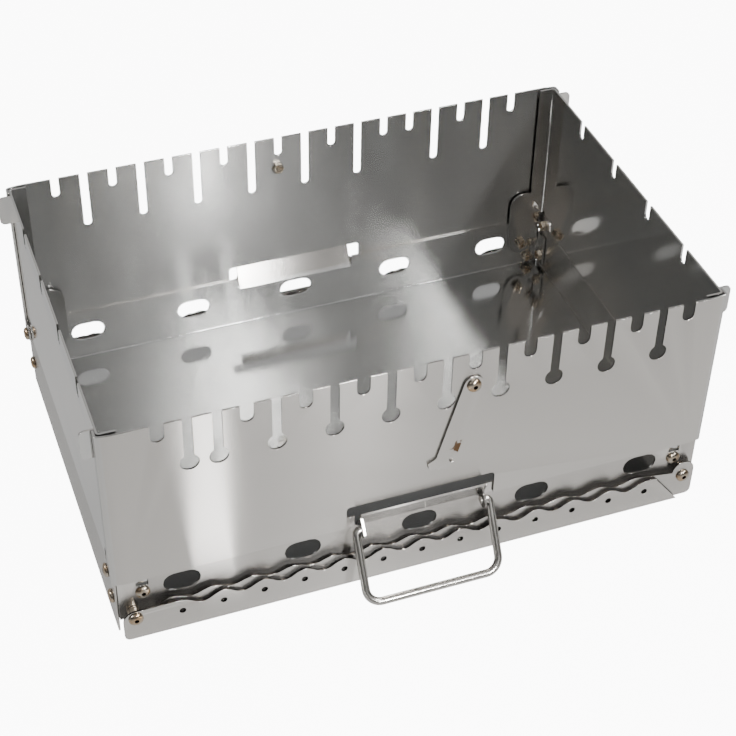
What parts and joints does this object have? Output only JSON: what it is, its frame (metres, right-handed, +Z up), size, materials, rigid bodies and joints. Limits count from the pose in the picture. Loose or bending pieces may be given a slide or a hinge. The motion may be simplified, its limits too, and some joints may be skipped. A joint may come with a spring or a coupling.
{
  "type": "folding skewer grill",
  "caption": "Box-shaped charcoal skewer grill in sheet steel with notched folding walls, vented tray, swing-down leg strips and wire handles.",
  "frame": {"origin": "bottom centre, on the ground under the leg strips", "axes": "+X along the length to the right seen from the front, +Y from the latched front wall to the back, +Z up"},
  "size_m": [0.4664, 0.3616, 0.188],
  "materials": {
    "satin_sheet": "satin",
    "bright_sheet": "mirror-like",
    "drawn_wire": "satin",
    "tinted_fastener": "heat tinted"
  },
  "bodies": {
    "frame": {"corner_nut_back_left": "tinted_fastener", "corner_nut_back_right": "tinted_fastener", "corner_nut_front_left": "tinted_fastener", "corner_nut_front_right": "tinted_fastener", "corner_screw_back_left": "tinted_fastener", "corner_screw_back_right": "tinted_fastener", "corner_screw_front_left": "tinted_fastener", "corner_screw_front_right": "tinted_fastener", "end_plate_left": "satin_sheet", "end_plate_right": "satin_sheet", "hinge_nut_back_left": "tinted_fastener", "hinge_nut_back_right": "tinted_fastener", "hinge_nut_front_left": "tinted_fastener", "hinge_nut_front_right": "tinted_fastener", "hinge_screw_back_left": "tinted_fastener", "hinge_screw_back_right": "tinted_fastener", "hinge_screw_front_left": "tinted_fastener", "hinge_screw_front_right": "tinted_fastener", "latch_nut": "tinted_fastener", "latch_screw": "tinted_fastener", "latch_stud": "tinted_fastener", "latch_stud_nut": "tinted_fastener", "leg_back_inner_nut": "tinted_fastener", "leg_back_inner_screw": "tinted_fastener", "leg_back_inner_spacer": "tinted_fastener", "leg_back_outer_nut": "tinted_fastener", "leg_back_outer_screw": "tinted_fastener", "leg_back_outer_spacer": "tinted_fastener", "leg_front_inner_nut": "tinted_fastener", "leg_front_inner_screw": "tinted_fastener", "leg_front_inner_spacer": "tinted_fastener", "leg_front_outer_nut": "tinted_fastener", "leg_front_outer_screw": "tinted_fastener", "leg_front_outer_spacer": "tinted_fastener", "long_wall_back": "satin_sheet", "long_wall_front": "satin_sheet", "pivot_nut_back_left": "tinted_fastener", "pivot_nut_back_right": "tinted_fastener", "pivot_nut_front_left": "tinted_fastener", "pivot_nut_front_right": "tinted_fastener", "pivot_screw_back_left": "tinted_fastener", "pivot_screw_back_right": "tinted_fastener", "pivot_screw_front_left": "tinted_fastener", "pivot_screw_front_right": "tinted_fastener", "tray": "bright_sheet"},
    "end_wall_left": {"end_wall_left": "bright_sheet"},
    "end_wall_right": {"end_wall_right": "bright_sheet"},
    "leg_front_outer": {"leg_front_outer": "satin_sheet"},
    "leg_front_inner": {"leg_front_inner": "satin_sheet"},
    "leg_back_outer": {"leg_back_outer": "satin_sheet"},
    "leg_back_inner": {"leg_back_inner": "satin_sheet"},
    "handle_front": {"handle_front": "drawn_wire"},
    "handle_back": {"handle_back": "drawn_wire"},
    "latch_lever": {"latch_lever": "satin_sheet"}
  },
  "joints": [
    {"name": "end_wall_left_fold", "type": "hinge", "parent": "frame", "child": "end_wall_left", "pos_m": [-0.204, 0, 0.037], "axis": [0, 1, 0], "range_deg": [0, 90]},
    {"name": "end_wall_right_fold", "type": "hinge", "parent": "frame", "child": "end_wall_right", "pos_m": [0.204, 0, 0.037], "axis": [0, -1, 0], "range_deg": [0, 90]},
    {"name": "leg_front_outer_swing", "type": "hinge", "parent": "frame", "child": "leg_front_outer", "pos_m": [-0.212, -0.15055, 0.0205], "axis": [0, 1, 0], "range_deg": [0, 90]},
    {"name": "leg_front_inner_swing", "type": "hinge", "parent": "frame", "child": "leg_front_inner", "pos_m": [0.212, -0.14755, 0.0205], "axis": [0, -1, 0], "range_deg": [0, 90]},
    {"name": "leg_back_outer_swing", "type": "hinge", "parent": "frame", "child": "leg_back_outer", "pos_m": [0.212, 0.15055, 0.0205], "axis": [0, -1, 0], "range_deg": [0, 90]},
    {"name": "leg_back_inner_swing", "type": "hinge", "parent": "frame", "child": "leg_back_inner", "pos_m": [-0.212, 0.14755, 0.0205], "axis": [0, 1, 0], "range_deg": [0, 90]},
    {"name": "handle_front_swing", "type": "hinge", "parent": "frame", "child": "handle_front", "pos_m": [0, -0.1496, 0.0505], "axis": [-1, 0, 0], "range_deg": [0, 110]},
    {"name": "handle_back_swing", "type": "hinge", "parent": "frame", "child": "handle_back", "pos_m": [0, 0.1496, 0.0505], "axis": [1, 0, 0], "range_deg": [0, 110]},
    {"name": "latch_lever_swing", "type": "hinge", "parent": "frame", "child": "latch_lever", "pos_m": [0.034, -0.14605, 0.161], "axis": [0, 1, 0], "range_deg": [-75, 105]}
  ]
}
